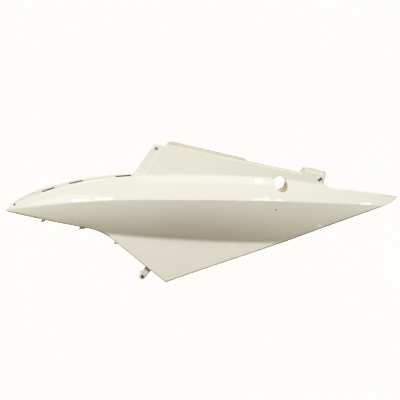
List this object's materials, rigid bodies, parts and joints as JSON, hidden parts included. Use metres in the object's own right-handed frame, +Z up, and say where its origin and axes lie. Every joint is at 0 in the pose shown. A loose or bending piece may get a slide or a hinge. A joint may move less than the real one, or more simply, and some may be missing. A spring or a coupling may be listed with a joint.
{
  "type": "scooter side panel",
  "caption": "Left body side panel of a scooter: a thin moulded skin with a sharp ridge, a scooped belly, screw fixings and a round lock opening.",
  "frame": {"origin": "centre of the front screw hole, on the outer face of its flange", "axes": "+X to the rear of the vehicle, -Y outward from the panel's left-hand outer face, +Z up, as it is fitted"},
  "size_m": [0.78, 0.087, 0.2751],
  "materials": {
    "painted_shell": "cream white gloss paint"
  },
  "bodies": {
    "root": {"side_panel": "painted_shell"}
  },
  "joints": []
}
